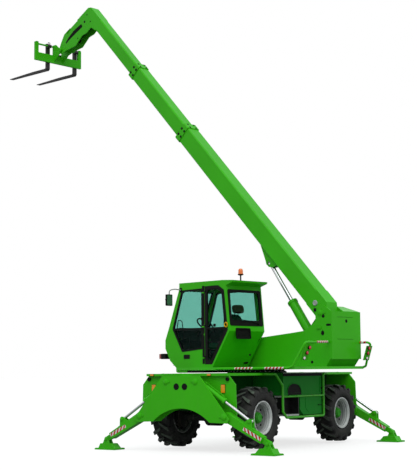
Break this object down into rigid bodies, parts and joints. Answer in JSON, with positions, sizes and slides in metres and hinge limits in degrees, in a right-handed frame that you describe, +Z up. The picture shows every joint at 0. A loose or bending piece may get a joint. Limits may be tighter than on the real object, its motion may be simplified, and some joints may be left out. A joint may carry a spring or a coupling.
{
  "type": "rotating telehandler",
  "caption": "Rotating telehandler on four stabilisers, with a slewing cab and turret, a raised telescopic boom, and pallet forks on a tilting carriage.",
  "frame": {"origin": "on the ground under the slewing axis, midway between the axles", "axes": "+Z up, -Y towards the front of the chassis, +X towards the machine's left"},
  "size_m": [10.3674, 5.045, 10.1818],
  "materials": {
    "green_paint": "satin",
    "dark_steel": "satin",
    "black_paint": "satin",
    "silver_paint": "satin",
    "grey_plate": "brushed",
    "chrome": "polished",
    "tyre": "matte",
    "glass": "polished",
    "interior": "matte",
    "black_plastic": "matte",
    "orange_lens": "gloss",
    "lamp_plastic": "gloss",
    "engine_iron": "matte"
  },
  "bodies": {
    "chassis": {"chassis_frame": "green_paint", "decks": "green_paint", "steps": "grey_plate", "left_locker": "green_paint", "engine_cover": "green_paint", "engine_block": "engine_iron", "outer_plates": "green_paint", "inner_plates": "green_paint", "plate_ties": "green_paint", "marker_lamps": "orange_lens", "axles": "dark_steel"},
    "turret": {"turntable": "green_paint", "boom_cheeks": "green_paint", "rear_body": "green_paint", "guard_tubes": "green_paint", "tail_lamps": "lamp_plastic", "cab_shell": "green_paint", "cab_panes": "glass", "cab_interior": "interior", "mirror": "black_plastic", "beacon": "orange_lens"},
    "cab_door": {"door_frame": "black_paint", "door_pane": "glass"},
    "outer_boom": {"outer_boom": "green_paint"},
    "middle_boom": {"middle_boom": "green_paint"},
    "inner_boom": {"inner_boom": "green_paint"},
    "lift_barrel": {"lift_barrel": "green_paint"},
    "lift_rod": {"lift_rod": "chrome"},
    "tilt_barrel": {"tilt_barrel": "dark_steel"},
    "tilt_rod": {"tilt_rod": "chrome"},
    "carriage": {"carriage": "green_paint", "forks": "dark_steel"},
    "knuckle_front_left": {"knuckle_front_left": "dark_steel"},
    "wheel_front_left": {"tyre_front_left": "tyre", "rim_front_left": "silver_paint"},
    "knuckle_front_right": {"knuckle_front_right": "dark_steel"},
    "wheel_front_right": {"tyre_front_right": "tyre", "rim_front_right": "silver_paint"},
    "knuckle_rear_left": {"knuckle_rear_left": "dark_steel"},
    "wheel_rear_left": {"tyre_rear_left": "tyre", "rim_rear_left": "silver_paint"},
    "knuckle_rear_right": {"knuckle_rear_right": "dark_steel"},
    "wheel_rear_right": {"tyre_rear_right": "tyre", "rim_rear_right": "silver_paint"},
    "arm_front_left": {"arm_front_left": "green_paint"},
    "foot_front_left": {"foot_front_left": "green_paint"},
    "arm_barrel_front_left": {"arm_barrel_front_left": "green_paint"},
    "arm_rod_front_left": {"arm_rod_front_left": "chrome"},
    "arm_front_right": {"arm_front_right": "green_paint"},
    "foot_front_right": {"foot_front_right": "green_paint"},
    "arm_barrel_front_right": {"arm_barrel_front_right": "green_paint"},
    "arm_rod_front_right": {"arm_rod_front_right": "chrome"},
    "arm_rear_left": {"arm_rear_left": "green_paint"},
    "foot_rear_left": {"foot_rear_left": "green_paint"},
    "arm_barrel_rear_left": {"arm_barrel_rear_left": "green_paint"},
    "arm_rod_rear_left": {"arm_rod_rear_left": "chrome"},
    "arm_rear_right": {"arm_rear_right": "green_paint"},
    "foot_rear_right": {"foot_rear_right": "green_paint"},
    "arm_barrel_rear_right": {"arm_barrel_rear_right": "green_paint"},
    "arm_rod_rear_right": {"arm_rod_rear_right": "chrome"}
  },
  "joints": [
    {"name": "steer_front_left", "type": "hinge", "parent": "chassis", "child": "knuckle_front_left", "pos_m": [0.85, -1.4975, 0.612], "axis": [0, 0, 1], "range_deg": [-30, 30]},
    {"name": "wheel_front_left", "type": "hinge", "parent": "knuckle_front_left", "child": "wheel_front_left", "pos_m": [0.922, -1.4975, 0.612], "axis": [1, 0, 0], "continuous": true},
    {"name": "steer_front_right", "type": "hinge", "parent": "chassis", "child": "knuckle_front_right", "pos_m": [-0.85, -1.4975, 0.612], "axis": [0, 0, 1], "range_deg": [-30, 30]},
    {"name": "wheel_front_right", "type": "hinge", "parent": "knuckle_front_right", "child": "wheel_front_right", "pos_m": [-0.922, -1.4975, 0.612], "axis": [1, 0, 0], "continuous": true},
    {"name": "steer_rear_left", "type": "hinge", "parent": "chassis", "child": "knuckle_rear_left", "pos_m": [0.85, 1.4975, 0.612], "axis": [0, 0, 1], "range_deg": [-30, 30]},
    {"name": "wheel_rear_left", "type": "hinge", "parent": "knuckle_rear_left", "child": "wheel_rear_left", "pos_m": [0.922, 1.4975, 0.612], "axis": [1, 0, 0], "continuous": true},
    {"name": "steer_rear_right", "type": "hinge", "parent": "chassis", "child": "knuckle_rear_right", "pos_m": [-0.85, 1.4975, 0.612], "axis": [0, 0, 1], "range_deg": [-30, 30]},
    {"name": "wheel_rear_right", "type": "hinge", "parent": "knuckle_rear_right", "child": "wheel_rear_right", "pos_m": [-0.922, 1.4975, 0.612], "axis": [1, 0, 0], "continuous": true},
    {"name": "arm_front_left", "type": "hinge", "parent": "chassis", "child": "arm_front_left", "pos_m": [0.97, -2.467, 0.66], "axis": [0, -1, 0], "range_deg": [-6, 82]},
    {"name": "foot_front_left", "type": "hinge", "parent": "arm_front_left", "child": "foot_front_left", "pos_m": [1.85, -2.467, 0.2], "axis": [0, -1, 0], "range_deg": [-30, 30]},
    {"name": "arm_barrel_front_left", "type": "hinge", "parent": "chassis", "child": "arm_barrel_front_left", "pos_m": [0.34, -2.467, 1.297], "axis": [0, -1, 0], "range_deg": [-2, 24]},
    {"name": "arm_rod_front_left", "type": "slide", "parent": "arm_barrel_front_left", "child": "arm_rod_front_left", "axis": [0.8457, 0, -0.5337], "range_m": [-0.512, 0.042]},
    {"name": "arm_front_right", "type": "hinge", "parent": "chassis", "child": "arm_front_right", "pos_m": [-0.97, -2.467, 0.66], "axis": [0, 1, 0], "range_deg": [-6, 82]},
    {"name": "foot_front_right", "type": "hinge", "parent": "arm_front_right", "child": "foot_front_right", "pos_m": [-1.85, -2.467, 0.2], "axis": [0, 1, 0], "range_deg": [-30, 30]},
    {"name": "arm_barrel_front_right", "type": "hinge", "parent": "chassis", "child": "arm_barrel_front_right", "pos_m": [-0.34, -2.467, 1.297], "axis": [0, 1, 0], "range_deg": [-2, 24]},
    {"name": "arm_rod_front_right", "type": "slide", "parent": "arm_barrel_front_right", "child": "arm_rod_front_right", "axis": [-0.8457, 0, -0.5337], "range_m": [-0.512, 0.042]},
    {"name": "arm_rear_left", "type": "hinge", "parent": "chassis", "child": "arm_rear_left", "pos_m": [0.97, 2.268, 0.66], "axis": [0, -1, 0], "range_deg": [-6, 82]},
    {"name": "foot_rear_left", "type": "hinge", "parent": "arm_rear_left", "child": "foot_rear_left", "pos_m": [1.85, 2.268, 0.2], "axis": [0, -1, 0], "range_deg": [-30, 30]},
    {"name": "arm_barrel_rear_left", "type": "hinge", "parent": "chassis", "child": "arm_barrel_rear_left", "pos_m": [0.34, 2.268, 1.297], "axis": [0, -1, 0], "range_deg": [-2, 24]},
    {"name": "arm_rod_rear_left", "type": "slide", "parent": "arm_barrel_rear_left", "child": "arm_rod_rear_left", "axis": [0.8457, 0, -0.5337], "range_m": [-0.512, 0.042]},
    {"name": "arm_rear_right", "type": "hinge", "parent": "chassis", "child": "arm_rear_right", "pos_m": [-0.97, 2.268, 0.66], "axis": [0, 1, 0], "range_deg": [-6, 82]},
    {"name": "foot_rear_right", "type": "hinge", "parent": "arm_rear_right", "child": "foot_rear_right", "pos_m": [-1.85, 2.268, 0.2], "axis": [0, 1, 0], "range_deg": [-30, 30]},
    {"name": "arm_barrel_rear_right", "type": "hinge", "parent": "chassis", "child": "arm_barrel_rear_right", "pos_m": [-0.34, 2.268, 1.297], "axis": [0, 1, 0], "range_deg": [-2, 24]},
    {"name": "arm_rod_rear_right", "type": "slide", "parent": "arm_barrel_rear_right", "child": "arm_rod_rear_right", "axis": [-0.8457, 0, -0.5337], "range_m": [-0.512, 0.042]},
    {"name": "slew", "type": "hinge", "parent": "chassis", "child": "turret", "pos_m": [0, 0, 1.49], "axis": [0, 0, 1], "continuous": true},
    {"name": "cab_door", "type": "hinge", "parent": "turret", "child": "cab_door", "pos_m": [-0.60292, -0.98976, 2.38], "axis": [0, 0, -1], "range_deg": [0, 95]},
    {"name": "boom_lift", "type": "hinge", "parent": "turret", "child": "outer_boom", "pos_m": [1.62307, 0.03548, 2.6], "axis": [0.1478, 0.989, 0], "range_deg": [-46.55, 23.45]},
    {"name": "lift_barrel", "type": "hinge", "parent": "turret", "child": "lift_barrel", "pos_m": [1.33626, 0.07835, 2.03], "axis": [0.1478, 0.989, 0], "range_deg": [-42.5, 21.5]},
    {"name": "lift_rod", "type": "slide", "parent": "lift_barrel", "child": "lift_rod", "axis": [-0.5644, 0.0843, 0.8212], "range_m": [-0.485, 0.245]},
    {"name": "extend_middle", "type": "slide", "parent": "outer_boom", "child": "middle_boom", "axis": [-0.6802, 0.1017, 0.726], "range_m": [-2, 1.8]},
    {"name": "extend_inner", "type": "slide", "parent": "middle_boom", "child": "inner_boom", "axis": [-0.6802, 0.1017, 0.726], "range_m": [-1.6, 1.95]},
    {"name": "carriage_tilt", "type": "hinge", "parent": "inner_boom", "child": "carriage", "pos_m": [-6.30936, 1.22099, 9.32904], "axis": [-0.1478, -0.989, 0], "range_deg": [-58, 55]},
    {"name": "tilt_barrel", "type": "hinge", "parent": "inner_boom", "child": "tilt_barrel", "pos_m": [-5.44425, 1.0917, 9.86702], "axis": [-0.1478, -0.989, 0], "range_deg": [-1, 1]},
    {"name": "tilt_rod", "type": "slide", "parent": "tilt_barrel", "child": "tilt_rod", "axis": [-0.9064, 0.1355, -0.4], "range_m": [-0.13, 0.13]}
  ],
  "couplings": [
    {"joint": "steer_front_right", "follows": "steer_front_left", "ratio": 1},
    {"joint": "steer_rear_right", "follows": "steer_rear_left", "ratio": 1},
    {"joint": "arm_barrel_front_left", "follows": "arm_front_left", "ratio": 0.28431},
    {"joint": "arm_rod_front_left", "follows": "arm_front_left", "m_per_rad": -0.35364},
    {"joint": "arm_barrel_front_right", "follows": "arm_front_right", "ratio": 0.28431},
    {"joint": "arm_rod_front_right", "follows": "arm_front_right", "m_per_rad": -0.35364},
    {"joint": "arm_barrel_rear_left", "follows": "arm_rear_left", "ratio": 0.28431},
    {"joint": "arm_rod_rear_left", "follows": "arm_rear_left", "m_per_rad": -0.35364},
    {"joint": "arm_barrel_rear_right", "follows": "arm_rear_right", "ratio": 0.28431},
    {"joint": "arm_rod_rear_right", "follows": "arm_rear_right", "m_per_rad": -0.35364},
    {"joint": "lift_barrel", "follows": "boom_lift", "ratio": 0.89894},
    {"joint": "lift_rod", "follows": "boom_lift", "m_per_rad": 0.58996},
    {"joint": "tilt_barrel", "follows": "carriage_tilt", "ratio": -0.00034},
    {"joint": "tilt_rod", "follows": "carriage_tilt", "m_per_rad": 0.12179}
  ]
}
